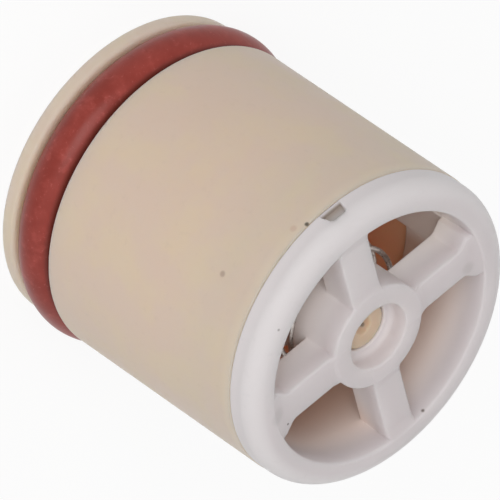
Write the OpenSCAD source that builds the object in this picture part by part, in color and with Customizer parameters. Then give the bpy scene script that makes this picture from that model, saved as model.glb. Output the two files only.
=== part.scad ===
// Backflow preventer cartridge: a check valve that is pushed into a pipe fitting.
// It stands on its inlet flange, with the outlet cage at the top. Water flows through it along +Z.
// The origin is the centre of the inlet flange's face. Lengths are in millimetres.

/* [Barrel] */
// Outer diameter of the barrel
barrel_d = 23.5; // [22:0.1:30]
// Length of the barrel, from the O-ring groove to the outlet end
barrel_h = 18.6; // [16:0.1:26]
// Wall of the barrel around the outlet cage
barrel_wall = 1.25; // [1:0.05:1.5]
// How far the flange is set in from the barrel's surface
flange_inset = 0.1; // [0:0.05:0.4]
// Thickness of the inlet flange
flange_h = 1.2; // [0.9:0.1:3]
// Radius on the housing's outer edges
edge_round = 0.3; // [0.1:0.05:0.4]

/* [O-ring] */
// Section diameter of the O-ring
o_ring_section = 3.53; // [3:0.01:4]
// How far the O-ring stands proud of the barrel
o_ring_proud = 0.35; // [0.2:0.05:0.7]
// Free width between the O-ring, which lies against the flange, and the barrel
groove_play = 0.15; // [0.05:0.05:0.5]

/* [Inlet and seat] */
// Diameter of the inlet bore
inlet_d = 14; // [12.5:0.1:14.8]
// Radius on the inlet bore's mouth
inlet_round = 0.7; // [0.2:0.1:1]
// Wall between the O-ring groove and the chamber's floor
floor_wall = 1.4; // [1:0.1:2.5]
// Height of the seat's lip above the chamber's floor
seat_h = 0.7; // [0.4:0.1:1.5]
// Width of the seat's lip
seat_w = 0.7; // [0.5:0.1:1]
// Fillet between the chamber's floor and its wall
chamber_round = 1; // [0.2:0.1:1.2]
// Width of the step that the cage's skirt is pushed down to
step_w = 0.6; // [0.5:0.05:0.9]

/* [Outlet cage] */
// Height of the cage's rim above the barrel
rim_h = 2.27; // [1.6:0.01:3]
// How far the rim is set in from the barrel's surface
rim_inset = 0.05; // [0:0.05:0.3]
// Radius on the rim's outer edge
rim_round = 1.3; // [0.3:0.1:1.5]
// Wall of the cage's skirt
skirt_wall = 0.95; // [0.8:0.05:1.2]
// Length of the skirt below the rim
skirt_h = 5.7; // [4.5:0.1:7]
// How far the mouth opens out from the skirt
mouth_draft = 0.1; // [0:0.05:0.4]
// How far the legs stand in from the skirt
leg_proud = 0.15; // [0.05:0.05:0.5]
// How far the legs reach below the skirt
leg_drop = 2.1; // [1:0.1:3]
// Width of the legs
leg_w = 4.1; // [3.6:0.1:5]
// Width of the notches under the rim
notch_w = 1.75; // [1:0.05:3]
// Height of the notches
notch_h = 1; // [0.6:0.1:1.4]
// Thickness of the sill that is left between a notch and the barrel
notch_sill = 0.15; // [0.1:0.05:0.3]
// Depth of the notches
notch_depth = 0.5; // [0.3:0.05:0.9]

/* [Hub and spokes] */
// Outer diameter of the hub
hub_d = 8; // [7.6:0.1:8.4]
// Length of the hub
hub_h = 8.2; // [6:0.1:9]
// How far the hub's face lies below the rim's
hub_recess = 0.2; // [0:0.05:0.4]
// Width of the spokes
spoke_w = 2.6; // [2:0.1:3.2]
// Thickness of the spokes along the axis
spoke_h = 2.85; // [2:0.05:4]
// How far the spokes lie below the hub's face
spoke_recess = 0.15; // [0:0.05:0.3]
// Length over which two of the spokes widen into their feet
spoke_flare = 0.8; // [0.4:0.1:1.6]
// How far those feet stand in from the legs below them
foot_proud = 0.5; // [0.2:0.1:0.8]
// Diameter of the stepped hole's mouth
counterbore_d = 5; // [4.4:0.1:5.6]
// Depth of the stepped hole's mouth
counterbore_h = 1.5; // [1:0.1:2.5]

/* [Poppet] */
// Diameter of the stem
stem_d = 3.6; // [3:0.05:4]
// Radial running clearance of the stem in the hub
stem_gap = 0.06; // [0.02:0.01:0.1]
// How far the stem's end lies below the hub's face
stem_recess = 1.55; // [1:0.05:2.5]
// Diameter of the dimple in the stem's end
dimple_d = 1.3; // [0.6:0.1:1.8]
// Depth of that dimple
dimple_depth = 0.6; // [0.2:0.1:1]
// Travel of the poppet from closed to open
lift = 4.4; // [3:0.1:4.6]
// Diameter of the poppet's plate
plate_d = 16; // [15:0.1:17]
// Thickness of the poppet's plate
plate_h = 1.6; // [1.2:0.1:2]
// Diameter of the shoulder that stops against the hub
shoulder_d = 5.8; // [5:0.1:6.4]
// Height of the wall that holds the spring's foot
cup_h = 1.2; // [0.6:0.1:1.6]
// Wall of that cup
cup_wall = 0.8; // [0.6:0.1:1]
// Number of stiffening ribs on the plate
rib_count = 8; // [4:1:10]
// Thickness of the ribs
rib_w = 0.8; // [0.6:0.1:1.2]

/* [Seal and retainer] */
// Outer diameter of the poppet's seal
seal_d = 16.6; // [16:0.1:17.2]
// Thickness of the seal
seal_h = 1.2; // [1:0.1:1.6]
// Inner diameter of the seal
seal_bore = 9.8; // [9:0.1:10.4]
// Running gap around the retainer in the inlet bore
retainer_gap = 0.5; // [0.3:0.05:0.8]
// Thickness of the retainer at its edge
retainer_h = 0.9; // [0.6:0.1:1.2]
// Height of the retainer's dome
dome_h = 1.7; // [1:0.1:2]
// Diameter of the pin that the retainer snaps onto
snap_pin_d = 3; // [2.4:0.1:3.4]

/* [Spring] */
// Wire diameter of the spring
wire_d = 0.4; // [0.3:0.05:0.6]
// Radial gap between the hub and the spring
spring_gap = 0.6; // [0.3:0.05:0.7]
// Radial gap between the spring and the poppet's cup
cup_gap = 0.3; // [0.2:0.05:0.5]
// Turns of the spring, with one close turn at each end
spring_turns = 8; // [6:0.5:9]
// Rise of the close turns
close_pitch = 0.8; // [0.4:0.05:1]

/* [Hidden] */
$fn = 96;

// Clearances of pieces that are pushed together, and of faces that only rest on each other
push_gap = 0.05;
rest_gap = 0.02;
// The seal's gap above the seat, and the gap left at the end of the travel
seat_gap = 0.04;
stop_gap = 0.1;
// Cuts run this far past the faces that they open
over = 0.1;

// Heights from the inlet face upwards
groove_h = o_ring_section + groove_play;
barrel_z = flange_h + groove_h;
end_z = barrel_z + barrel_h;
floor_z = barrel_z + floor_wall;
seat_z = floor_z + seat_h;
front_z = end_z + rim_h;
skirt_z = end_z - skirt_h;
step_z = skirt_z - stop_gap;
leg_z = skirt_z - leg_drop;
face_z = front_z - hub_recess;
hub_z = face_z - hub_h;
spoke_z = face_z - spoke_recess - spoke_h;
seal_z = seat_z + seat_gap;
plate_z = seal_z + seal_h;
plate_top = plate_z + plate_h;
shoulder_z = hub_z - lift - stop_gap;
stem_z = face_z - stem_recess;

// Radii of the housing
barrel_r = barrel_d / 2;
flange_r = barrel_r - flange_inset;
inlet_r = inlet_d / 2;
seat_r = inlet_r + seat_w;
recess_r = barrel_r - barrel_wall;
chamber_r = recess_r - step_w;
o_ring_r = o_ring_section / 2;
o_ring_mid = barrel_r + o_ring_proud - o_ring_r;
groove_r = o_ring_mid - o_ring_r - rest_gap;
lip_round = seat_w * 0.4;

// The snap groove in the barrel and the bead on the skirt that clicks into it
snap_depth = 0.35;
snap_h = 1;
snap_z = (skirt_z + end_z) / 2 - snap_h / 2;

// Radii of the cage
rim_r = barrel_r - rim_inset;
skirt_r = recess_r - push_gap;
skirt_in_r = skirt_r - skirt_wall;
mouth_r = skirt_in_r + mouth_draft;
leg_r = chamber_r - push_gap * 3;
leg_in_r = skirt_in_r - leg_proud;
foot_in = leg_in_r - foot_proud;
hub_r = hub_d / 2;
hub_bevel = 0.4;
guide_r = stem_d / 2 + stem_gap;
rim_foot_round = 0.12;
// Two spokes lie behind the notches, and two stand on legs
notch_angles = [45, 225];
leg_angles = [135, 315];

// Radii of the poppet and of what it carries
stem_r = stem_d / 2;
stem_bevel = 0.25;
dimple_r = dimple_d / 2;
plate_r = plate_d / 2;
plate_round = 0.4;
spring_in_r = hub_r + spring_gap;
spring_r = spring_in_r + wire_d;
cup_r = spring_r + cup_gap;
cup_out_r = cup_r + cup_wall;
shoulder_r = shoulder_d / 2;
shoulder_foot_r = spring_in_r - cup_gap;
rib_h = cup_h * 0.7;
boss_r = seal_bore / 2 - rest_gap;
retainer_r = inlet_r - retainer_gap;
retainer_z = seal_z - retainer_h;
dome_z = retainer_z - dome_h;
dome_r = (retainer_r * retainer_r + dome_h * dome_h) / (2 * dome_h);
snap_pin_r = snap_pin_d / 2;
snap_head_r = snap_pin_r + 0.4;
snap_head_h = 1;
snap_well_r = snap_head_r + 4 * push_gap;
snap_seat_z = dome_z + snap_head_h + 0.3;

// The spring's helix
spring_z = plate_top + rest_gap;
spring_h = spoke_z - spring_z - rest_gap;
spring_pitch = (spring_h - wire_d - 2 * close_pitch) / (spring_turns - 2);
// Where the wire's upper end lies round the hub, in degrees
spring_end_angle = 120;
coil_steps = 24;
wire_sides = 8;

// A rectangle in a revolve's half plane, from radius r0 to r1 and from height z0 to z1
module band(r0, r1, z0, z1) {
    translate([r0, z0])
        square([r1 - r0, z1 - z0]);
}

// What rounding takes off a corner. The material lies on the minus side of out_r and out_z.
module corner_cut(r, z, radius, out_r, out_z) {
    translate([r, z])
        mirror([out_r < 0 ? 1 : 0, 0])
            mirror([0, out_z < 0 ? 1 : 0])
                translate([-radius, -radius])
                    difference() {
                        square(radius + over);
                        circle(radius, $fn = 48);
                    }
}

// The chamber above the seat, with a round corner between its floor and its wall
module chamber_profile() {
    difference() {
        band(seat_r, chamber_r, floor_z, seat_z + over);
        corner_cut(chamber_r, floor_z, chamber_round, 1, -1);
    }
    difference() {
        band(0, chamber_r, seat_z, step_z + over);
        if (chamber_round > seat_h)
            corner_cut(chamber_r, floor_z, chamber_round, 1, -1);
    }
}

module housing_profile() {
    difference() {
        union() {
            band(inlet_r, flange_r, 0, flange_h);
            band(inlet_r, groove_r, 0, barrel_z + over);
            band(inlet_r, barrel_r, barrel_z, end_z);
        }
        chamber_profile();
        band(0, recess_r, step_z, end_z + over);
        polygon([
            [recess_r - over, snap_z - snap_depth - over],
            [recess_r + snap_depth, snap_z],
            [recess_r + snap_depth, snap_z + snap_h],
            [recess_r - over, snap_z + snap_h]
        ]);
        corner_cut(inlet_r, 0, inlet_round, -1, -1);
        corner_cut(inlet_r, seat_z, lip_round, -1, 1);
        corner_cut(seat_r, seat_z, lip_round, 1, 1);
        corner_cut(flange_r, 0, edge_round, 1, -1);
        corner_cut(flange_r, flange_h, edge_round, 1, 1);
        corner_cut(barrel_r, barrel_z, edge_round, 1, -1);
        corner_cut(barrel_r, end_z, edge_round / 2, 1, 1);
    }
}

module housing() {
    color("tan")
        rotate_extrude()
            housing_profile();
}

module housing_o_ring() {
    color("firebrick")
        rotate_extrude()
            translate([o_ring_mid, flange_h + rest_gap + o_ring_r])
                circle(o_ring_r, $fn = 48);
}

// The cage's rim, its skirt and the bead that snaps into the barrel
module cage_ring_profile() {
    difference() {
        union() {
            band(skirt_in_r, skirt_r, skirt_z, end_z + over);
            band(skirt_in_r, rim_r, end_z, front_z);
            polygon([
                [skirt_r - over, snap_z - snap_depth / 2],
                [skirt_r + snap_depth - push_gap, snap_z + snap_depth / 2],
                [skirt_r + snap_depth - push_gap, snap_z + snap_h - push_gap],
                [skirt_r - over, snap_z + snap_h - push_gap]
            ]);
        }
        polygon([
            [skirt_in_r - over, spoke_z],
            [skirt_in_r, spoke_z],
            [mouth_r, front_z],
            [mouth_r, front_z + over],
            [skirt_in_r - over, front_z + over]
        ]);
        corner_cut(rim_r, front_z, rim_round, 1, 1);
        corner_cut(rim_r, end_z, rim_foot_round, 1, -1);
        corner_cut(skirt_r, skirt_z, rim_foot_round, 1, -1);
    }
}

// Outline of one spoke. A spoke that stands on a leg has a wider foot.
module spoke_plan(on_leg) {
    intersection() {
        union() {
            translate([0, -spoke_w / 2])
                square([rim_r, spoke_w]);
            if (on_leg)
                polygon([
                    [foot_in - spoke_flare, -spoke_w / 2],
                    [foot_in, -leg_w / 2],
                    [rim_r, -leg_w / 2],
                    [rim_r, leg_w / 2],
                    [foot_in, leg_w / 2],
                    [foot_in - spoke_flare, spoke_w / 2]
                ]);
        }
        circle(skirt_r - skirt_wall / 3);
    }
}

module spoke(on_leg) {
    translate([0, 0, spoke_z])
        linear_extrude(spoke_h)
            spoke_plan(on_leg);
}

module leg() {
    translate([0, 0, leg_z])
        linear_extrude(spoke_z + over - leg_z)
            intersection() {
                spoke_plan(true);
                difference() {
                    circle(leg_r);
                    circle(leg_in_r);
                }
            }
}

// The hub guides the stem and holds the spring's upper end
module hub() {
    translate([0, 0, hub_z + hub_bevel])
        cylinder(h = hub_h - hub_bevel, r = hub_r);
    translate([0, 0, hub_z])
        cylinder(h = hub_bevel, r1 = hub_r - hub_bevel, r2 = hub_r);
}

module stepped_hole() {
    translate([0, 0, hub_z - over])
        cylinder(h = hub_h + 2 * over, r = guide_r);
    translate([0, 0, face_z - counterbore_h])
        cylinder(h = counterbore_h + over, d = counterbore_d);
}

module outlet_cage() {
    color("whitesmoke")
        difference() {
            union() {
                rotate_extrude()
                    cage_ring_profile();
                for (angle = notch_angles)
                    rotate(angle)
                        spoke(false);
                for (angle = leg_angles)
                    rotate(angle) {
                        spoke(true);
                        leg();
                    }
                hub();
            }
            stepped_hole();
            for (angle = notch_angles)
                rotate(angle)
                    translate([rim_r - notch_depth, -notch_w / 2, end_z + notch_sill])
                        cube([notch_depth + over, notch_w, notch_h]);
        }
}

// Height of the wire's centre after so many turns: one close turn, the open turns, one close turn
function coil_height(turns) =
    spring_z + wire_d / 2
    + close_pitch * min(turns, 1)
    + spring_pitch * max(0, min(turns - 1, spring_turns - 2))
    + close_pitch * max(0, turns - spring_turns + 1);

function wire_ring(turns) = [
    for (side = [0 : wire_sides - 1])
        let (
            tilt = 360 * side / wire_sides,
            r = spring_r - wire_d / 2 + wire_d / 2 * cos(tilt),
            angle = spring_end_angle + 360 * (turns - spring_turns)
        )
        [r * cos(angle), r * sin(angle), coil_height(turns) + wire_d / 2 * sin(tilt)]
];

module spring() {
    rings = round(spring_turns * coil_steps);
    points = [for (i = [0 : rings]) each wire_ring(i / coil_steps)];
    walls = [
        for (i = [0 : rings - 1], side = [0 : wire_sides - 1])
            let (next = (side + 1) % wire_sides)
            [
                i * wire_sides + side,
                (i + 1) * wire_sides + side,
                (i + 1) * wire_sides + next,
                i * wire_sides + next
            ]
    ];
    foot = [for (side = [0 : wire_sides - 1]) side];
    head = [for (side = [wire_sides - 1 : -1 : 0]) rings * wire_sides + side];
    color("silver")
        polyhedron(points, concat([foot], walls, [head]));
}

// The stem, the shoulder that stops on the hub, the plate, and the pin for the retainer
module poppet_profile() {
    difference() {
        union() {
            band(0, stem_r, plate_z, stem_z);
            polygon([
                [0, plate_top - over],
                [shoulder_foot_r, plate_top - over],
                [shoulder_foot_r, plate_top],
                [shoulder_r, shoulder_z],
                [0, shoulder_z]
            ]);
            band(0, plate_r, plate_z, plate_top);
            band(cup_r, cup_out_r, plate_top - over, plate_top + cup_h);
            band(0, boss_r, seal_z, plate_z + over);
            band(0, snap_pin_r, snap_seat_z - over, seal_z + over);
            polygon([
                [0, snap_seat_z - snap_head_h],
                [snap_pin_r - 0.3, snap_seat_z - snap_head_h],
                [snap_head_r, snap_seat_z - rest_gap],
                [0, snap_seat_z - rest_gap]
            ]);
        }
        corner_cut(plate_r, plate_top, plate_round, 1, 1);
        polygon([
            [stem_r - stem_bevel, stem_z + over],
            [stem_r - stem_bevel, stem_z],
            [stem_r, stem_z - stem_bevel],
            [stem_r + over, stem_z - stem_bevel],
            [stem_r + over, stem_z + over]
        ]);
        polygon([
            [0, stem_z - dimple_depth],
            [dimple_r, stem_z],
            [dimple_r, stem_z + over],
            [0, stem_z + over]
        ]);
    }
}

module poppet() {
    color("burlywood") {
        rotate_extrude()
            poppet_profile();
        for (i = [0 : rib_count - 1])
            rotate(360 * i / rib_count)
                translate([cup_out_r - cup_wall / 2, -rib_w / 2, plate_top - over])
                    cube([plate_r - plate_round - cup_out_r + cup_wall / 2, rib_w, rib_h + over]);
    }
}

// A flat ring with a rounded lip that closes on the seat
module poppet_seal() {
    color("dimgray")
        rotate_extrude()
            difference() {
                band(seal_bore / 2, seal_d / 2, seal_z, plate_z);
                corner_cut(seal_d / 2, seal_z, seal_h / 3, 1, -1);
                corner_cut(seal_d / 2, plate_z, seal_h / 3, 1, 1);
            }
}

// A cap with a domed face towards the inlet, snapped over the poppet's pin
module seal_retainer() {
    color("burlywood")
        rotate_extrude()
            difference() {
                union() {
                    band(0, retainer_r, retainer_z, seal_z);
                    intersection() {
                        translate([0, dome_z + dome_r])
                            circle(dome_r, $fn = 180);
                        band(0, retainer_r, dome_z, retainer_z + over);
                    }
                }
                band(-over, snap_pin_r + push_gap, dome_z - over, seal_z + over);
                band(-over, snap_well_r, dome_z - over, snap_seat_z);
            }
}

housing();
housing_o_ring();
outlet_cage();
spring();
poppet();
poppet_seal();
seal_retainer();
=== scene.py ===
import math

import bpy
import numpy as np
from mathutils import Matrix, Vector


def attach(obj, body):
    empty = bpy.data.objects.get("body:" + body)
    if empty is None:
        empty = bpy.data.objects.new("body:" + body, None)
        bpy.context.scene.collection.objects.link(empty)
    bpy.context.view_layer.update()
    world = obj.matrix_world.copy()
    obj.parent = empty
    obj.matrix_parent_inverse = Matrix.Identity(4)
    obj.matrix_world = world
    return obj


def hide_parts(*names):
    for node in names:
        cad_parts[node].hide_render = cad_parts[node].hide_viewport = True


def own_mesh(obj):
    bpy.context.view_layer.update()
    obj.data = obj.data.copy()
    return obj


# Lengths are in millimetres until a mesh or a place is handed to Blender, which takes metres
MM = 0.001

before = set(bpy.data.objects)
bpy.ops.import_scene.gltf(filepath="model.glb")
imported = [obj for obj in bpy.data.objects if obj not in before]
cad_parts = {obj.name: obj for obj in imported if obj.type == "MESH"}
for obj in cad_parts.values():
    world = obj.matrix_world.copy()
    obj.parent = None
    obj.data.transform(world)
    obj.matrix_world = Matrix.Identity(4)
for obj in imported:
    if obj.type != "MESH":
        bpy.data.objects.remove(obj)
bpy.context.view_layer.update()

# Sizes of the CAD part and what follows from them, first of the housing and its O-ring
BARREL_R = 11.75
FLANGE_R = BARREL_R - 0.1
FLANGE_H = 1.2
O_RING_R = 3.53 / 2
O_RING_MID = BARREL_R + 0.35 - O_RING_R
O_RING_Z = FLANGE_H + 0.02 + O_RING_R
GROOVE_R = O_RING_MID - O_RING_R - 0.02
BARREL_Z = FLANGE_H + 2 * O_RING_R + 0.15
END_Z = BARREL_Z + 18.6
RECESS_R = BARREL_R - 1.25
CHAMBER_R = RECESS_R - 0.6
INLET_R = 7.0
SEAT_R = INLET_R + 0.7
FLOOR_Z = BARREL_Z + 1.4
SEAT_Z = FLOOR_Z + 0.7

# The outlet cage
FRONT_Z = END_Z + 2.27
RIM_ROUND = 1.3
FACE_Z = FRONT_Z - 0.2
SPOKE_TOP_Z = FACE_Z - 0.15
SPOKE_Z = SPOKE_TOP_Z - 2.85
HUB_Z = FACE_Z - 8.2
SKIRT_Z = END_Z - 5.7
STEP_Z = SKIRT_Z - 0.1
LEG_Z = SKIRT_Z - 2.1
RIM_R = BARREL_R - 0.05
SKIRT_R = RECESS_R - 0.05
SKIRT_IN_R = SKIRT_R - 0.95
MOUTH_R = SKIRT_IN_R + 0.1
LEG_IN_R = SKIRT_IN_R - 0.15
LEG_R = CHAMBER_R - 0.15
FOOT_IN = LEG_IN_R - 0.5
SPOKE_FLARE = 0.8
SPOKE_HALF_W = 1.3
WIDE_WINDOW = 0.17
LEG_HALF_W = 2.05
HUB_R = 4.0
GUIDE_R = 1.86
COUNTERBORE_R = 2.5
COUNTERBORE_H = 1.5
NOTCH_HALF_W = 0.875
NOTCH_H = 1.0
NOTCH_SILL = 0.15
NOTCH_DEPTH = 0.5
NOTCH_LEAN = 0.25
SNAP_H = 1.0
SNAP_DEPTH = 0.35
SNAP_Z = (SKIRT_Z + END_Z - SNAP_H) / 2
# Rounding of the cage's edges
EDGE = 0.17
SMALL_EDGE = 0.12
LEG_EDGE = 0.1
SHARP = 0.02
HUB_FOOT_ROUND = 0.4
COUNTERBORE_ROUND = 0.4
HOLE_EDGE = 0.14
STEP_EDGE = 0.15
NOTCH_ROUND = 0.25
NOTCH_EDGE = 0.08

# The poppet with its seal and retainer
LIFT = 4.4
SEAL_Z = SEAT_Z + 0.04
PLATE_Z = SEAL_Z + 1.2
PLATE_TOP = PLATE_Z + 1.6
PLATE_R = 8.0
STEM_R = 1.8
STEM_Z = FACE_Z - 1.55
STEM_ROUND = 0.22
DIMPLE_R = 0.65
DIMPLE_DEPTH = 0.6
SHOULDER_R = 2.9
SHOULDER_FOOT_R = 4.3
SHOULDER_Z = HUB_Z - LIFT - 0.1
CUP_R = 5.3
CUP_OUT_R = CUP_R + 0.8
CUP_H = 1.2
RIB_COUNT = 8
RIB_HALF_W = 0.4
RIB_H = 0.84
SEAL_IN_R = 4.9
SEAL_OUT_R = 8.3
BOSS_R = SEAL_IN_R - 0.02
RETAINER_R = INLET_R - 0.5
RETAINER_Z = SEAL_Z - 0.9
DOME_H = 1.7
DOME_Z = RETAINER_Z - DOME_H
SNAP_PIN_R = 1.5
SNAP_SEAT_Z = DOME_Z + 1.3
# Rounding of the poppet's edges and of its inner corners, and how far its parts reach into the plate
PLATE_EDGE = 0.15
PLATE_FILLET = 0.25
SUNK = 0.4

# The spring
WIRE_R = 0.2
COIL_R = HUB_R + 0.6 + WIRE_R
SPRING_TURNS = 8
SPRING_FOOT = PLATE_TOP + 0.02
SPRING_TOP = SPOKE_Z - 0.02
SPRING_END_ANGLE = 120
CLOSE_PITCH = 0.8

# How finely the meshes are divided
CELL = 0.11
ROUND_SEGMENTS = 240
MOST_ANGLE = 12
O_RING_SIDES = 56
WIRE_SIDES = 16
STEPS_PER_TURN = 72
DOME_STEPS = 12
GRADIENT_STEP = 0.01

# The photograph's camera, and how far right, down and away from it the near face lies, in barrel radii
CAMERA_RIGHT = (-0.3827, 0.6391, 0.6673)
CAMERA_BACK = (-0.2583, -0.7675, 0.5868)
CAMERA_LENS = 834.7
CAMERA_SENSOR = 36
NEAR_FACE_Z = 25.32
NEAR_FACE_PLACE = (0.7286, 0.4912, 66.67)

VALVE_BODY = "valve_body"
POPPET_BODY = "poppet_assembly"

# Colours of the housing: its own, a painted glow at its outlet end, a painted highlight on its edge by the
# O-ring, and painted light inside: a warm glow below the skirt and paler paint behind it
TAN = (0.775, 0.62, 0.51)
TAN_CLOUD = (0.785, 0.64, 0.49)
TAN_PAINTED_END_GLOW = (0.90, 0.71, 0.55)
TAN_PAINTED_EDGE_HIGHLIGHT = (0.96, 0.85, 0.72)
TAN_CHAMBER_PAINTED_GLOW = (0.92, 0.56, 0.34)
TAN_RECESS = (0.96, 0.88, 0.80)
# Colours of the cage: its own, a painted shade on one side, then painted light on the hub and on the ring's
# inner wall near the face and deep inside
WHITE = (0.80, 0.747, 0.75)
WHITE_CLOUD = (0.795, 0.742, 0.745)
WHITE_PAINTED_SHADE = (0.66, 0.60, 0.61)
HUB_PAINTED_LIGHT = (0.98, 0.935, 0.925)
HUB_DEEP_PAINTED_LIGHT = (0.95, 0.83, 0.77)
WALL_PAINTED_LIGHT = (0.94, 0.82, 0.76)
WALL_DEEP_PAINTED_LIGHT = (0.75, 0.51, 0.40)
# Painted light on the wall towards -X, near the face and deep inside
LIT_WHITE = (1.0, 0.93, 0.88)
LIT_DEEP = (1.0, 0.88, 0.81)
# Painted shade in the notches, darker at their foot
NOTCH_SHADE_LOW = (0.42, 0.35, 0.30)
NOTCH_SHADE_HIGH = (0.58, 0.55, 0.54)
# Specks and scratches on the moulding
SPECK = (0.10, 0.07, 0.05)
SCRATCH = (0.20, 0.15, 0.13)
# Painted shade where two spokes meet the ring
SPOKE_END_SHADE = (0.50, 0.46, 0.45)
PALE_SPOKE_END_SHADE = (0.52, 0.49, 0.48)
# Colours of the smaller pieces
RED = (0.255, 0.026, 0.015)
RED_CLOUD = (0.32, 0.042, 0.029)
# Painted shade on the O-ring where it curves into the groove by the barrel's edge
RED_GAP_SHADE = (0.08, 0.013, 0.008)
STEM_TAN = (0.75, 0.57, 0.42)
STEM_CLOUD = (0.73, 0.57, 0.42)
CAP_TAN = (0.68, 0.53, 0.42)
CAP_CLOUD = (0.69, 0.55, 0.40)
BLACK = (0.035, 0.035, 0.037)
BLACK_CLOUD = (0.05, 0.05, 0.052)
STEEL = (0.50, 0.47, 0.44)
STEEL_LIGHT = (0.66, 0.63, 0.60)
# How far red, green and blue spread under the surface, as shares of a material's depth
EVEN_GLOW = (1.0, 1.0, 1.0)
STEM_GLOW = (1.0, 0.7, 0.5)
CAP_GLOW = (1.0, 0.6, 0.4)

# Strength of the even light from all sides, and name, strength, azimuth, elevation and spread of each lamp
SKY = 0.47
LAMPS = (("key", 1.1, 251, 36, 40), ("fill", 0.35, 312, 22, 70))
# The floor glows so that it looks white, and the rest of it takes the object's shadow
GROUND_SIZE = 6
GROUND_HEIGHT = -0.00001
GROUND_GREY = 0.9
GROUND_GLOW = 1.03
GLOW_SHARE = 0.85


def camera_at_photo_angle():
    """The photograph's camera, from the ellipses of the rim, the groove and the flange."""
    right = Vector(CAMERA_RIGHT)
    back = Vector(CAMERA_BACK).normalized()
    right = (right - back * right.dot(back)).normalized()
    up = back.cross(right)
    near_face = Vector((0, 0, NEAR_FACE_Z))
    across, down, away = NEAR_FACE_PLACE
    place = near_face - BARREL_R * (across * right - down * up - away * back)
    camera = bpy.data.cameras.new("camera")
    camera.sensor_width = CAMERA_SENSOR
    camera.lens = CAMERA_LENS
    camera.clip_start = 0.01
    camera.clip_end = 20
    view = bpy.data.objects.new("camera", camera)
    rotation = Matrix((right, up, back)).transposed().to_4x4()
    view.matrix_world = Matrix.Translation(place * MM) @ rotation
    bpy.context.scene.collection.objects.link(view)
    bpy.context.scene.camera = view


def link(name, mesh, body, slot, material, *nodes):
    """Shows a mesh as a piece that rides on a CAD body and stands for CAD nodes."""
    piece = bpy.data.objects.new(name, mesh)
    bpy.context.scene.collection.objects.link(piece)
    mesh.materials.append(material)
    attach(piece, body)
    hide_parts(*nodes)
    return piece


def mesh_from(name, points, faces, normals=None):
    """A smooth mesh from points in millimetres."""
    mesh = bpy.data.meshes.new(name)
    mesh.from_pydata((np.asarray(points) * MM).tolist(), [], faces)
    mesh.update()
    mesh.shade_smooth()
    if normals is not None:
        mesh.normals_split_custom_set_from_vertices(np.asarray(normals, float).tolist())
    return mesh


def rounded(corners):
    """Points (r, z, normal r, normal z) round a section whose corners (r, z, radius) run counterclockwise."""
    out = []
    count = len(corners)
    for i, (r, z, radius) in enumerate(corners):
        here = np.array((r, z))
        before = np.array(corners[i - 1][:2]) - here
        after = np.array(corners[(i + 1) % count][:2]) - here
        before /= np.hypot(*before)
        after /= np.hypot(*after)
        n_in = np.array((-before[1], before[0]))
        n_out = np.array((after[1], -after[0]))
        if r < 1e-6:
            out.append((r, z, 0.0, 1.0 if n_in[1] + n_out[1] > 0 else -1.0))
            continue
        turn = math.acos(max(-1.0, min(1.0, float(n_in @ n_out))))
        if turn < 1e-4:
            out.append((r, z, *n_out))
            continue
        radius = max(radius, SHARP)
        reach = radius * math.tan(turn / 2)
        start = here + before * reach
        convex = n_in[0] * n_out[1] - n_in[1] * n_out[0] > 0
        centre = start - n_in * radius if convex else start + n_in * radius
        steps = max(2, math.ceil(math.degrees(turn) / MOST_ANGLE))
        for k in range(steps + 1):
            a = turn * k / steps * (1 if convex else -1)
            n = np.array((
                n_in[0] * math.cos(a) - n_in[1] * math.sin(a),
                n_in[0] * math.sin(a) + n_in[1] * math.cos(a),
            ))
            p = centre + n * radius if convex else centre - n * radius
            out.append((p[0], p[1], n[0], n[1]))
    return out


def lathe(name, section):
    """A closed mesh of revolution round the Z axis from points that rounded() gives."""
    points, normals, rings = [], [], []
    for r, z, nr, nz in section:
        if r < 1e-6:
            rings.append([len(points)] * ROUND_SEGMENTS)
            points.append((0, 0, z))
            normals.append((0, 0, nz))
            continue
        rings.append(list(range(len(points), len(points) + ROUND_SEGMENTS)))
        for k in range(ROUND_SEGMENTS):
            a = 2 * math.pi * k / ROUND_SEGMENTS
            points.append((r * math.cos(a), r * math.sin(a), z))
            normals.append((nr * math.cos(a), nr * math.sin(a), nz))
    faces = []
    for i, ring in enumerate(rings):
        next_ring = rings[(i + 1) % len(rings)]
        if ring[0] == ring[1] and next_ring[0] == next_ring[1]:
            continue
        for k in range(ROUND_SEGMENTS):
            j = (k + 1) % ROUND_SEGMENTS
            quad = (ring[k], ring[j], next_ring[j], next_ring[k])
            faces.append(tuple(dict.fromkeys(quad)))
    return mesh_from(name, points, faces, normals)


# Distance fields with round edges: cut joins two limits of one solid, join unites two solids

def cut(a, b, radius):
    return np.minimum(np.maximum(a, b), -radius) + np.hypot(
        np.maximum(a + radius, 0), np.maximum(b + radius, 0)
    )


def join(a, b, radius):
    return -cut(-a, -b, radius)


def ease(value, low, high):
    """0 below low, 1 above high and a smooth way between."""
    t = np.clip((value - low) / (high - low), 0, 1)
    return t * t * (3 - 2 * t)


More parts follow.
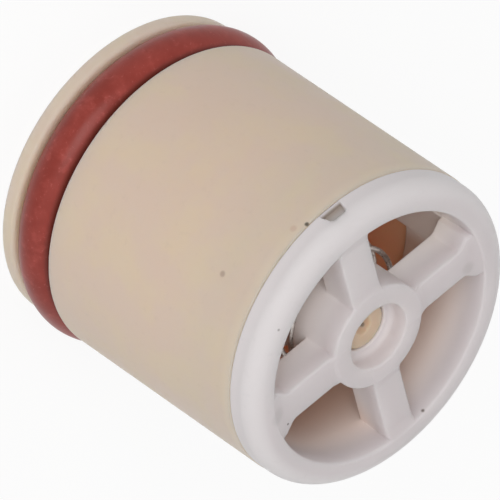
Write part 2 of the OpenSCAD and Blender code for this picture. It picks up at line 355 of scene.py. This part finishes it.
def spoke_field(along, across, z, on_leg):
    """One spoke, with a wider foot if it stands on a leg.

    The distances are along the spoke and away from its centre line.
    """
    plan = across - SPOKE_HALF_W
    if on_leg:
        slope = math.hypot(SPOKE_FLARE, LEG_HALF_W - SPOKE_HALF_W)
        flare = (
            (across - SPOKE_HALF_W) * SPOKE_FLARE
            - (along - FOOT_IN + SPOKE_FLARE) * (LEG_HALF_W - SPOKE_HALF_W)
        ) / slope
        plan = join(plan, cut(across - LEG_HALF_W, flare, 0.05), SMALL_EDGE)
    plan = cut(plan, -along, SHARP)
    plan = np.maximum(plan, along - SKIRT_R + 0.3)
    # The top runs flush into the hub's face and up to the rim's
    top = FACE_Z - (FACE_Z - SPOKE_TOP_Z) * ease(along, HUB_R - 0.3, HUB_R + 0.5)
    top = top + (FRONT_Z - SPOKE_TOP_Z - 0.06) * ease(along, MOUTH_R - 0.9, MOUTH_R + 0.3)
    return cut(plan, np.maximum(z - top, SPOKE_Z - z), EDGE)


def leg_field(r, along, across, z):
    """A leg below the spoke, which stands in a little from the skirt."""
    wall = cut(LEG_IN_R - r, r - LEG_R, LEG_EDGE)
    sides = np.maximum(np.abs(across) - LEG_HALF_W, -along)
    return cut(cut(wall, sides, LEG_EDGE), np.maximum(LEG_Z - z, z - SPOKE_Z - 0.5), LEG_EDGE)


def cage_field(p):
    """The outlet cage: rim, skirt with its snap bead, spokes, legs, hub with a stepped hole, and notches."""
    x, y, z = p[..., 0], p[..., 1], p[..., 2]
    r = np.hypot(x, y)
    rim = cut(cut(r - RIM_R, z - FRONT_Z, RIM_ROUND), END_Z - z, SMALL_EDGE)
    skirt = cut(cut(r - SKIRT_R, SKIRT_Z - z, SMALL_EDGE), z - END_Z - 0.5, SHARP)
    # The snap bead round the skirt, sloped below so that it slides into the barrel
    bead_slope = (r - SKIRT_R - (z - SNAP_Z)) * 0.707
    bead = np.maximum(np.maximum(bead_slope, r - SKIRT_R - 0.3), z - SNAP_Z - SNAP_H + 0.05)
    bead = np.maximum(bead, SKIRT_R - 0.3 - r)
    ring = np.minimum(np.minimum(rim, skirt), bead)
    inner = SKIRT_IN_R + (MOUTH_R - SKIRT_IN_R) * np.clip((z - SPOKE_Z) / (FRONT_Z - SPOKE_Z), 0, 1)
    ring = cut(ring, inner - r, EDGE)
    plus = (x + y) * math.sqrt(0.5)
    minus = (y - x) * math.sqrt(0.5)
    # Two plain spokes lie behind the notches, and the other two stand on legs
    # The window on +Y is a little wider
    wider = np.where((plus > 0) & (minus > 0), WIDE_WINDOW, 0.0)
    plain = spoke_field(np.abs(plus), np.abs(minus) + wider, z, False)
    spokes = np.minimum(plain, spoke_field(np.abs(minus), np.abs(plus) + wider, z, True))
    legs = leg_field(r, np.abs(minus), plus, z)
    hub = cut(cut(r - HUB_R, z - FACE_Z, EDGE), HUB_Z - z, HUB_FOOT_ROUND)
    solid = join(join(ring, legs, SMALL_EDGE), spokes, 0.06)
    solid = join(solid, hub, 0.1)
    mouth = cut(r - COUNTERBORE_R, FACE_Z - COUNTERBORE_H - z, COUNTERBORE_ROUND)
    solid = cut(solid, -join(r - GUIDE_R, mouth, STEP_EDGE), HOLE_EDGE)
    sill = END_Z + NOTCH_SILL
    # The notch's two sides lean in a little towards its top
    lean = NOTCH_LEAN * (z - sill - NOTCH_H / 2)
    notch = cut(np.abs(minus) - NOTCH_HALF_W + 0.1 + lean, z - sill - NOTCH_H, NOTCH_ROUND)
    notch = np.maximum(cut(notch, RIM_R - NOTCH_DEPTH - np.abs(plus), 0.1), sill - z)
    return cut(solid, -notch, NOTCH_EDGE)


def gradient(field, points):
    """How fast a field rises along each axis, from two samples beside each point."""
    out = np.empty_like(points)
    for axis in range(3):
        shift = np.zeros(3)
        shift[axis] = GRADIENT_STEP
        out[:, axis] = (field(points + shift) - field(points - shift)) / (2 * GRADIENT_STEP)
    return out


def surface_of(field, low, high, cell):
    """Points, quads and normals of a field's zero surface, by surface nets that are drawn onto it."""
    low = np.asarray(low, float)
    counts = np.ceil((np.asarray(high) - low) / cell).astype(int) + 1
    axes = [low[i] + cell * np.arange(counts[i]) for i in range(3)]
    values = np.empty(counts, np.float32)
    plane = np.stack(np.meshgrid(axes[0], axes[1], indexing="ij"), -1)
    for k, z in enumerate(axes[2]):
        values[:, :, k] = field(np.concatenate([plane, np.full((*plane.shape[:2], 1), z)], -1))
    inside = values < 0
    corners = [(i, j, k) for i in (0, 1) for j in (0, 1) for k in (0, 1)]

    def corner(grid, offset):
        return grid[tuple(slice(o, n - 1 + o) for o, n in zip(offset, grid.shape))]

    # One point in each cell that the surface crosses, in the middle of its crossings with the cell's edges
    total = sum(corner(inside, c).astype(np.int8) for c in corners)
    cells = np.argwhere((total > 0) & (total < 8))
    index = np.full([n - 1 for n in counts], -1, np.int64)
    index[tuple(cells.T)] = np.arange(len(cells))
    place = np.zeros((len(cells), 3))
    hits = np.zeros(len(cells))
    for a in corners:
        for axis in range(3):
            if a[axis]:
                continue
            b = list(a)
            b[axis] = 1
            va = values[tuple((cells + a).T)]
            vb = values[tuple((cells + b).T)]
            crosses = (va < 0) != (vb < 0)
            t = np.where(crosses, va / np.where(crosses, va - vb, 1), 0)
            spot = np.asarray(a, float)[None, :].repeat(len(cells), 0)
            spot[:, axis] = t
            place[crosses] += spot[crosses]
            hits += crosses
    points = low + (cells + place / hits[:, None]) * cell
    # One quad round each grid edge that the surface crosses, facing outwards
    faces = []
    for axis in range(3):
        u, v = (axis + 1) % 3, (axis + 2) % 3
        ahead = [slice(None)] * 3
        here = [slice(None)] * 3
        ahead[axis] = slice(1, None)
        here[axis] = slice(None, -1)
        change = np.argwhere(inside[tuple(here)] != inside[tuple(ahead)])
        change = change[(change[:, u] > 0) & (change[:, v] > 0)]
        quad = []
        for du, dv in ((-1, -1), (0, -1), (0, 0), (-1, 0)):
            c = change.copy()
            c[:, u] += du
            c[:, v] += dv
            quad.append(index[tuple(c.T)])
        quad = np.stack(quad, 1)
        starts_inside = inside[tuple(change.T)]
        quad[~starts_inside] = quad[~starts_inside][:, ::-1]
        faces.append(quad)
    faces = np.concatenate(faces)
    # The points move along the slope onto the surface, by half a cell at most each time
    for _ in range(3):
        slope = gradient(field, points)
        steep = np.maximum((slope**2).sum(1), 0.2)
        pull = field(points)[:, None] * slope / steep[:, None]
        points -= np.clip(pull, -cell / 2, cell / 2)
    normals = gradient(field, points)
    normals /= np.linalg.norm(normals, axis=1)[:, None]
    return points, faces.tolist(), normals


class Nodes:
    """A material's node tree with short calls for the nodes that it needs."""

    def __init__(self, name):
        self.material = bpy.data.materials.new(name)
        self.material.use_nodes = True
        self.tree = self.material.node_tree
        self.tree.nodes.clear()
        self.output = self.tree.nodes.new("ShaderNodeOutputMaterial")
        coordinates = self.tree.nodes.new("ShaderNodeTexCoord")
        self.place = coordinates.outputs["Object"]

    def put(self, socket, value):
        if isinstance(value, bpy.types.NodeSocket):
            self.tree.links.new(value, socket)
        elif isinstance(value, (tuple, list)) and len(value) == 3 and socket.type == "RGBA":
            socket.default_value = (*value, 1)
        else:
            socket.default_value = value

    def node(self, kind, inputs=None, **settings):
        node = self.tree.nodes.new("ShaderNode" + kind)
        for key, value in settings.items():
            setattr(node, key, value)
        for key, value in (inputs or {}).items():
            self.put(node.inputs[key], value)
        return node

    def math(self, operation, *values):
        node = self.node("Math", operation=operation)
        for i, value in enumerate(values):
            self.put(node.inputs[i], value)
        return node.outputs[0]

    def noise(self, scale, detail, roughness):
        inputs = {"Vector": self.place, "Scale": scale, "Detail": detail, "Roughness": roughness}
        return self.node("TexNoise", inputs).outputs["Fac"]

    def ramp(self, value, low, high, out_low=0.0, out_high=1.0):
        node = self.node("MapRange", interpolation_type="SMOOTHSTEP")
        keys = ("Value", "From Min", "From Max", "To Min", "To Max")
        for key, number in zip(keys, (value, low, high, out_low, out_high)):
            self.put(node.inputs[key], number)
        return node.outputs[0]

    def fade(self, value, low, high, most=1.0):
        """A ramp from 0 at one length in millimetres to the most at another."""
        return self.ramp(value, low * MM, high * MM, 0.0, most)

    def mix(self, share, a, b):
        node = self.node("Mix", data_type="RGBA")
        self.put(node.inputs["Factor"], share)
        self.put(node.inputs[6], a)
        self.put(node.inputs[7], b)
        return node.outputs[2]

    def bump(self, height, distance):
        return self.node("Bump", {"Height": height, "Distance": distance * MM, "Strength": 1.0}).outputs[0]

    def near(self, place, radius, strength):
        """Strength at a place in millimetres, falling to nothing at the radius."""
        gap = self.node("VectorMath", {0: self.place, 1: tuple(c * MM for c in place)}, operation="DISTANCE")
        return self.fade(gap.outputs["Value"], radius, radius * 0.35, strength)

    def both(self, a, b):
        return self.math("MULTIPLY", a, b)

    def split(self):
        return self.node("SeparateXYZ", {0: self.place}).outputs[:3]

    def radius(self, x, y):
        """The distance from the part's axis."""
        return self.math("SQRT", self.math("ADD", self.both(x, x), self.both(y, y)))

    def finish(self, **inputs):
        shader = self.node("BsdfPrincipled")
        for key, value in inputs.items():
            self.put(shader.inputs[key.replace("_", " ")], value)
        self.tree.links.new(shader.outputs[0], self.output.inputs["Surface"])
        return self.material


def acetal(name, colour, cloud_colour, roughness, depth, glow, marks=(), shade=None):
    """Moulded acetal: cloudy colour, fine grain, a satin surface, and light that spreads under the surface.

    depth is how far the light spreads in millimetres and glow its red, green and blue shares. A mark is
    a place, a radius, a colour and a strength. shade gives a piece's own regions their colour and their
    share of spread light.
    """
    n = Nodes(name)
    cloud = n.noise(260, 3, 0.55)
    base = n.mix(n.ramp(cloud, 0.38, 0.66), colour, cloud_colour)
    base = n.mix(n.ramp(n.noise(1500, 3, 0.6), 0.56, 0.8, 0, 0.16), base, tuple(c * 0.8 for c in colour))
    spread = 1.0
    if shade:
        base, spread = shade(n, base)
    for place, radius, mark_colour, strength in marks:
        base = n.mix(n.near(place, radius, strength), base, mark_colour)
    rough = n.ramp(cloud, 0.3, 0.7, roughness - 0.05, roughness + 0.06)
    normal = n.bump(n.noise(5200, 3, 0.6), 0.003)
    return n.finish(
        Base_Color=base, Roughness=rough, Normal=normal, IOR=1.45, Specular_IOR_Level=0.2,
        Subsurface_Weight=spread, Subsurface_Radius=glow, Subsurface_Scale=depth * MM,
    )


def rubber(name, colour, cloud_colour, roughness, reflection, shade=None):
    """Rubber with cloudy colour, lighter patches, dust and a fine grain."""
    n = Nodes(name)
    cloud = n.noise(420, 3, 0.6)
    base = n.mix(n.ramp(cloud, 0.3, 0.75), colour, cloud_colour)
    patches = n.ramp(n.noise(900, 4, 0.65), 0.5, 0.7)
    base = n.mix(n.both(patches, 0.5), base, tuple(c * 1.3 + 0.015 for c in cloud_colour))
    dust_and_shade = n.ramp(n.noise(3600, 2, 0.7), 0.62, 0.74)
    base = n.mix(n.both(dust_and_shade, 0.3), base, tuple(min(1, c * 1.6 + 0.08) for c in colour))
    if shade:
        base = shade(n, base)
    rough = n.ramp(cloud, 0.3, 0.7, roughness - 0.06, roughness + 0.06)
    normal = n.bump(n.noise(2600, 3, 0.6), 0.01)
    return n.finish(Base_Color=base, Roughness=rough, Normal=normal, Specular_IOR_Level=reflection)


def steel_wire(name):
    """Drawn stainless steel with faint streaks of lighter metal."""
    n = Nodes(name)
    drawn = n.noise(1800, 3, 0.6)
    base = n.mix(n.ramp(drawn, 0.3, 0.7), STEEL, STEEL_LIGHT)
    rough = n.ramp(drawn, 0.3, 0.7, 0.24, 0.36)
    return n.finish(Base_Color=base, Roughness=rough, Metallic=1.0)


def housing_piece():
    corners = [
        (INLET_R, 0, 0.7), (FLANGE_R, 0, 0.3), (FLANGE_R, FLANGE_H, 0.3), (GROOVE_R, FLANGE_H, 0.2),
        (GROOVE_R, BARREL_Z, 0.2), (BARREL_R, BARREL_Z, 0.3), (BARREL_R, END_Z, 0.15), (RECESS_R, END_Z, 0.1),
        (RECESS_R, SNAP_Z + SNAP_H, 0.05), (RECESS_R + SNAP_DEPTH, SNAP_Z + SNAP_H, 0.05),
        (RECESS_R + SNAP_DEPTH, SNAP_Z, 0.1), (RECESS_R, SNAP_Z - SNAP_DEPTH, 0.1),
        (RECESS_R, STEP_Z, 0.1), (CHAMBER_R, STEP_Z, 0.15), (CHAMBER_R, FLOOR_Z, 1.0),
        (SEAT_R, FLOOR_Z, 0.1), (SEAT_R, SEAT_Z, 0.28), (INLET_R, SEAT_Z, 0.28),
    ]

    def by_place(n, base):
        """Painted light: a yellow glow at the outlet end, a highlight on the edge by the O-ring, a stronger
        warm glow inside and paler paint behind the skirt.
        """
        x, y, height = n.split()
        radius = n.radius(x, y)
        # Painted glow at the outlet end
        base = n.mix(n.fade(height, END_Z - 1.1, END_Z - 0.1, 0.7), base, TAN_PAINTED_END_GLOW)
        # Painted highlight on the barrel's edge by the O-ring
        above = n.fade(height, BARREL_Z - 0.3, BARREL_Z - 0.1)
        edge = n.both(n.fade(height, BARREL_Z + 0.35, BARREL_Z + 0.1), above)
        base = n.mix(n.both(edge, 0.8), base, TAN_PAINTED_EDGE_HIGHLIGHT)
        # Painted warm glow inside, as light bouncing in the housing would give, and paler paint behind the
        # skirt
        inside = n.fade(radius, RECESS_R + 0.3, RECESS_R)
        inside = n.both(inside, n.fade(height, 1, BARREL_Z))
        behind_skirt = n.fade(height, STEP_Z - 0.1, STEP_Z + 0.1)
        return n.mix(inside, base, n.mix(behind_skirt, TAN_CHAMBER_PAINTED_GLOW, TAN_RECESS)), 1.0

    marks = [
        ((-1.34, -11.67, 20.14), 0.3, (0.35, 0.24, 0.19), 0.5),
        ((-6.24, -9.96, 22.8), 0.35, (0.62, 0.38, 0.28), 0.35),
        ((-6.88, -9.52, 23.35), 0.22, (0.06, 0.055, 0.035), 0.9),
    ]
    tan = acetal(
        "tan_acetal", TAN, TAN_CLOUD, roughness=0.48, depth=2.0, glow=EVEN_GLOW, marks=marks, shade=by_place
    )
    mesh = lathe("housing_mesh", rounded(corners))
    link("housing_shell", mesh, VALVE_BODY, "housing_plastic", tan, "housing")


def o_ring_piece():
    around = [2 * math.pi * k / O_RING_SIDES for k in range(O_RING_SIDES)]
    section = [
        (O_RING_MID + O_RING_R * math.cos(a), O_RING_Z + O_RING_R * math.sin(a), math.cos(a), math.sin(a))
        for a in around
    ]

    def by_side(n, base):
        """Painted shade: the ring is painted dark on its side towards the barrel's edge, where it curves into
        the groove.
        """
        height = n.split()[2]
        side = n.fade(height, O_RING_Z + 1.2, O_RING_Z + 1.6, 0.9)
        return n.mix(side, base, RED_GAP_SHADE)

    red = rubber("red_brown_rubber", RED, RED_CLOUD, roughness=0.34, reflection=0.3, shade=by_side)
    link("o_ring", lathe("o_ring_mesh", section), VALVE_BODY, "o_ring_rubber", red, "housing_o_ring")


def cage_piece():
    reach = RIM_R + 0.35
    low, high = (-reach, -reach, LEG_Z - 0.3), (reach, reach, FRONT_Z + 0.3)
    points, faces, normals = surface_of(cage_field, low, high, CELL)
    marks = [
        ((-0.03, -10.82, FRONT_Z), 0.16, SPECK, 0.55),
        ((5.31, 8.07, SPOKE_TOP_Z + 0.1), 0.2, SPECK, 0.8),
        ((6.99, -5.29, SPOKE_TOP_Z), 0.13, SPECK, 0.7),
        ((-4.0, -1.14, FACE_Z), 0.22, SCRATCH, 0.6),
        ((-3.85, -1.5, FACE_Z), 0.16, SCRATCH, 0.4),
        # Painted shade where the spokes near 135° and 315° meet the ring
        ((-5.50, 6.36, SPOKE_TOP_Z), 0.7, SPOKE_END_SHADE, 0.35),
        ((6.44, -6.94, SPOKE_TOP_Z), 0.9, PALE_SPOKE_END_SHADE, 0.35),
    ]

    def by_depth(n, base):
        """Painted light: the hub and the ring's inner wall are painted lighter, and warmer deep inside, as
        light coming through the tan barrel would make them.
        """
        x, y, height = n.split()
        radius = n.radius(x, y)
        inside = n.fade(radius, SKIRT_R - 0.05, SKIRT_R - 0.4)
        inside = n.both(inside, n.fade(height, SPOKE_TOP_Z - 0.2, SPOKE_TOP_Z - 3))
        deep = n.fade(height, SPOKE_TOP_Z - 1.5, SKIRT_Z + 1)
        outer = n.fade(radius, HUB_R + 2, LEG_IN_R)
        hub = n.mix(deep, HUB_PAINTED_LIGHT, HUB_DEEP_PAINTED_LIGHT)
        # Painted light: the wall towards -X is painted lightest
        lit = n.fade(x, -4, -5.4)
        wall = n.mix(deep, WALL_PAINTED_LIGHT, WALL_DEEP_PAINTED_LIGHT)
        wall = n.mix(lit, wall, n.mix(deep, LIT_WHITE, LIT_DEEP))
        # Painted shade: the cage is painted a little greyer towards +X and +Y
        side_shade = n.math("ADD", n.both(y, 0.7), n.both(x, 0.3))
        side_shade = n.both(n.fade(side_shade, -8, 0, 0.6), n.fade(radius, 11.3, 10.3))
        base = n.mix(side_shade, base, WHITE_PAINTED_SHADE)
        base = n.mix(inside, base, n.mix(outer, hub, wall))
        # Painted shade: the notches are painted grey, darker towards their foot by the barrel
        outside_skirt = n.fade(radius, SKIRT_R - 0.05, SKIRT_R + 0.1)
        notch = n.both(n.fade(radius, RIM_R - 0.1, RIM_R - 0.4), outside_skirt)
        notch = n.both(notch, n.fade(height, END_Z + 1.5, END_Z + 1.2))
        dust_and_shade = n.mix(n.fade(height, END_Z, END_Z + 1.1), NOTCH_SHADE_LOW, NOTCH_SHADE_HIGH)
        base = n.mix(notch, base, dust_and_shade)
        # Near the seam no light gets lost into the joint between the rim and the barrel
        seam = n.fade(height, END_Z + 1.4, END_Z + 0.4)
        return base, n.math("SUBTRACT", 1.0, n.math("MAXIMUM", inside, seam))

    white = acetal(
        "white_acetal", WHITE, WHITE_CLOUD, roughness=0.42, depth=3.0, glow=EVEN_GLOW, marks=marks,
        shade=by_depth,
    )
    mesh = mesh_from("outlet_cage_mesh", points, faces, normals)
    link("outlet_cage_moulding", mesh, VALVE_BODY, "cage_plastic", white, "outlet_cage")


def coil_height(turns):
    """The wire's centre: one close turn, the open turns and one close turn."""
    pitch = (SPRING_TOP - SPRING_FOOT - 2 * WIRE_R - 2 * CLOSE_PITCH) / (SPRING_TURNS - 2)
    return (
        SPRING_FOOT + WIRE_R + CLOSE_PITCH * min(turns, 1)
        + pitch * max(0, min(turns - 1, SPRING_TURNS - 2))
        + CLOSE_PITCH * max(0, turns - SPRING_TURNS + 1)
    )


def spring_piece():
    """A round wire swept along a helix."""
    points, faces = [], []
    sides = WIRE_SIDES
    rings = SPRING_TURNS * STEPS_PER_TURN
    for i in range(rings + 1):
        turns = i / STEPS_PER_TURN
        angle = math.radians(SPRING_END_ANGLE) + 2 * math.pi * turns
        for k in range(sides):
            a = 2 * math.pi * k / sides
            r = COIL_R + WIRE_R * math.cos(a)
            height = coil_height(turns) + WIRE_R * math.sin(a)
            points.append((r * math.cos(angle), r * math.sin(angle), height))
    for i in range(rings):
        for k in range(sides):
            j = (k + 1) % sides
            faces.append((i * sides + k, (i + 1) * sides + k, (i + 1) * sides + j, i * sides + j))
    faces.append(tuple(range(sides)))
    faces.append(tuple(rings * sides + k for k in reversed(range(sides))))
    mesh = mesh_from("spring_mesh", points, faces)
    piece = link("spring_wire", mesh, VALVE_BODY, "spring_steel", steel_wire("spring_wire_steel"), "spring")
    height = SPRING_TOP - SPRING_FOOT
    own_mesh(piece)


def poppet_field(p):
    """The poppet: stem, shoulder, plate with the spring's cup and ribs, boss for the seal, and snap pin."""
    x, y, z = p[..., 0], p[..., 1], p[..., 2]
    r = np.hypot(x, y)
    below = PLATE_Z + SUNK - z
    stem = cut(cut(r - STEM_R, z - STEM_Z, STEM_ROUND), below, SHARP)
    pit = np.hypot(np.maximum(r - DIMPLE_R + 0.3, 0), z - STEM_Z - 0.02) - 0.3
    pit = np.minimum(pit, np.hypot(r, (z - STEM_Z) * DIMPLE_R / DIMPLE_DEPTH) - DIMPLE_R + 0.05)
    stem = cut(stem, -pit, SMALL_EDGE)
    reach = (z - PLATE_TOP) / (SHOULDER_Z - PLATE_TOP)
    cone = (r - SHOULDER_FOOT_R - (SHOULDER_R - SHOULDER_FOOT_R) * reach) * 0.9
    cone = cut(cut(cone, z - SHOULDER_Z, PLATE_EDGE), below, SHARP)
    plate = cut(cut(r - PLATE_R, z - PLATE_TOP, 0.4), PLATE_Z - z, PLATE_EDGE)
    cup = cut(cut(r - CUP_OUT_R, CUP_R - r, PLATE_EDGE), z - PLATE_TOP - CUP_H, PLATE_EDGE)
    cup = np.maximum(cup, below)
    turn = 2 * math.pi / RIB_COUNT
    angle = np.mod(np.arctan2(y, x) + turn / 2, turn) - turn / 2
    ribs = cut(np.abs(r * np.sin(angle)) - RIB_HALF_W, z - PLATE_TOP - RIB_H, SMALL_EDGE)
    ribs = cut(ribs, r * np.cos(angle) - PLATE_R + 0.4, SMALL_EDGE)
    ribs = np.maximum(np.maximum(ribs, CUP_OUT_R - 0.4 - r), below)
    boss = cut(r - BOSS_R, SEAL_Z - z, PLATE_EDGE)
    boss = np.maximum(boss, z - PLATE_Z - SUNK)
    pin = np.maximum(r - SNAP_PIN_R, z - SEAL_Z - SUNK)
    pin = np.maximum(pin, SNAP_SEAT_Z - 0.5 - z)
    head = cut((r - SNAP_PIN_R - 0.4 + (SNAP_SEAT_Z - z) * 0.7) * 0.82, z - SNAP_SEAT_Z + 0.02, 0.1)
    head = cut(head, SNAP_SEAT_Z - 1 - z, 0.1)
    solid = join(join(stem, cone, PLATE_FILLET), plate, PLATE_FILLET)
    solid = join(solid, join(cup, ribs, 0.15), 0.2)
    solid = join(solid, boss, 0.05)
    return np.minimum(join(solid, pin, 0.15), head)


def poppet_pieces():
    reach = PLATE_R + 0.3
    low, high = (-reach, -reach, SNAP_SEAT_Z - 1.3), (reach, reach, STEM_Z + 0.3)
    points, faces, normals = surface_of(poppet_field, low, high, CELL)
    # Painted shade: two dark marks darken the dimple in the stem's end
    marks = [
        ((-0.12, -0.06, STEM_Z), 0.2, (0.10, 0.06, 0.04), 0.8),
        ((0.05, 0.3, STEM_Z - 0.4), 0.25, (0.16, 0.10, 0.07), 0.7),
    ]
    tan = acetal(
        "tan_acetal_stem", STEM_TAN, STEM_CLOUD, roughness=0.42, depth=1.2, glow=STEM_GLOW, marks=marks
    )
    mesh = mesh_from("poppet_mesh", points, faces, normals)
    link("poppet_moulding", mesh, POPPET_BODY, "poppet_plastic", tan, "poppet")

    corners = [
        (SEAL_IN_R, SEAL_Z, 0.1), (SEAL_OUT_R, SEAL_Z, 0.4),
        (SEAL_OUT_R, PLATE_Z, 0.4), (SEAL_IN_R, PLATE_Z, 0.1),
    ]
    black = rubber("black_rubber", BLACK, BLACK_CLOUD, roughness=0.55, reflection=0.4)
    link("seal_ring", lathe("seal_mesh", rounded(corners)), POPPET_BODY, "seal_rubber", black, "poppet_seal")

    dome_r = (RETAINER_R**2 + DOME_H**2) / (2 * DOME_H)
    well_r = SNAP_PIN_R + 0.6
    dome = []
    for k in range(DOME_STEPS):
        r = well_r + (RETAINER_R - well_r) * k / DOME_STEPS
        dome.append((r, DOME_Z + dome_r - math.sqrt(dome_r**2 - r**2), 0.2 if k == 0 else 0.02))
    corners = dome + [
        (RETAINER_R, RETAINER_Z, 0.15), (RETAINER_R, SEAL_Z, 0.15), (SNAP_PIN_R + 0.05, SEAL_Z, 0.1),
        (SNAP_PIN_R + 0.05, SNAP_SEAT_Z, 0.1), (well_r, SNAP_SEAT_Z, 0.05),
    ]
    cap = acetal("tan_acetal_cap", CAP_TAN, CAP_CLOUD, roughness=0.45, depth=1.2, glow=CAP_GLOW)
    mesh = lathe("retainer_mesh", rounded(corners))
    link("retainer_cap", mesh, POPPET_BODY, "retainer_plastic", cap, "seal_retainer")


def white_floor():
    """A floor that looks white from above, takes the object's shadow and isn't seen from below."""
    bpy.ops.mesh.primitive_plane_add(size=GROUND_SIZE, location=(0, 0, GROUND_HEIGHT))
    floor = bpy.context.object
    floor.name = "floor"
    floor.visible_diffuse = False
    floor.visible_shadow = False
    n = Nodes("floor_white")
    diffuse = n.node("BsdfDiffuse", {"Color": (GROUND_GREY, GROUND_GREY, GROUND_GREY)})
    glow = n.node("Emission", {"Color": (1, 1, 1), "Strength": GROUND_GLOW})
    clear = n.node("BsdfTransparent")
    mixed = n.node("MixShader", {0: GLOW_SHARE, 1: diffuse.outputs[0], 2: glow.outputs[0]})
    geometry = n.node("NewGeometry")
    sided = n.node("MixShader", {0: geometry.outputs["Backfacing"], 1: mixed.outputs[0], 2: clear.outputs[0]})
    n.tree.links.new(sided.outputs[0], n.output.inputs["Surface"])
    floor.data.materials.append(n.material)


def sky_and_lamps():
    """Even light from all sides, a background that looks white to the camera, and the lamps."""
    scene = bpy.context.scene
    scene.view_settings.view_transform = "Standard"
    world = bpy.data.worlds.new("soft_white")
    scene.world = world
    world.use_nodes = True
    tree = world.node_tree
    tree.nodes.clear()
    out = tree.nodes.new("ShaderNodeOutputWorld")
    soft = tree.nodes.new("ShaderNodeBackground")
    soft.inputs["Strength"].default_value = SKY
    soft.inputs["Color"].default_value = (1, 1, 1, 1)
    white = tree.nodes.new("ShaderNodeBackground")
    white.inputs["Color"].default_value = (1, 1, 1, 1)
    path = tree.nodes.new("ShaderNodeLightPath")
    seen = path.outputs["Is Camera Ray"]
    for kind in ("Is Transmission Ray", "Is Glossy Ray"):
        either = tree.nodes.new("ShaderNodeMath")
        either.operation = "MAXIMUM"
        tree.links.new(seen, either.inputs[0])
        tree.links.new(path.outputs[kind], either.inputs[1])
        seen = either.outputs[0]
    choice = tree.nodes.new("ShaderNodeMixShader")
    tree.links.new(seen, choice.inputs[0])
    tree.links.new(soft.outputs[0], choice.inputs[1])
    tree.links.new(white.outputs[0], choice.inputs[2])
    tree.links.new(choice.outputs[0], out.inputs["Surface"])

    for name, strength, azimuth, elevation, spread in LAMPS:
        lamp = bpy.data.lights.new(name, "SUN")
        lamp.energy = strength
        lamp.angle = math.radians(spread)
        sun = bpy.data.objects.new(name, lamp)
        level = Vector((math.cos(math.radians(azimuth)), math.sin(math.radians(azimuth)), 0))
        rise = Vector((0, 0, math.sin(math.radians(elevation))))
        towards = level * math.cos(math.radians(elevation)) + rise
        sun.rotation_mode = "QUATERNION"
        sun.rotation_quaternion = towards.to_track_quat("Z", "Y")
        scene.collection.objects.link(sun)


camera_at_photo_angle()
white_floor()
sky_and_lamps()
housing_piece()
o_ring_piece()
cage_piece()
spring_piece()
poppet_pieces()
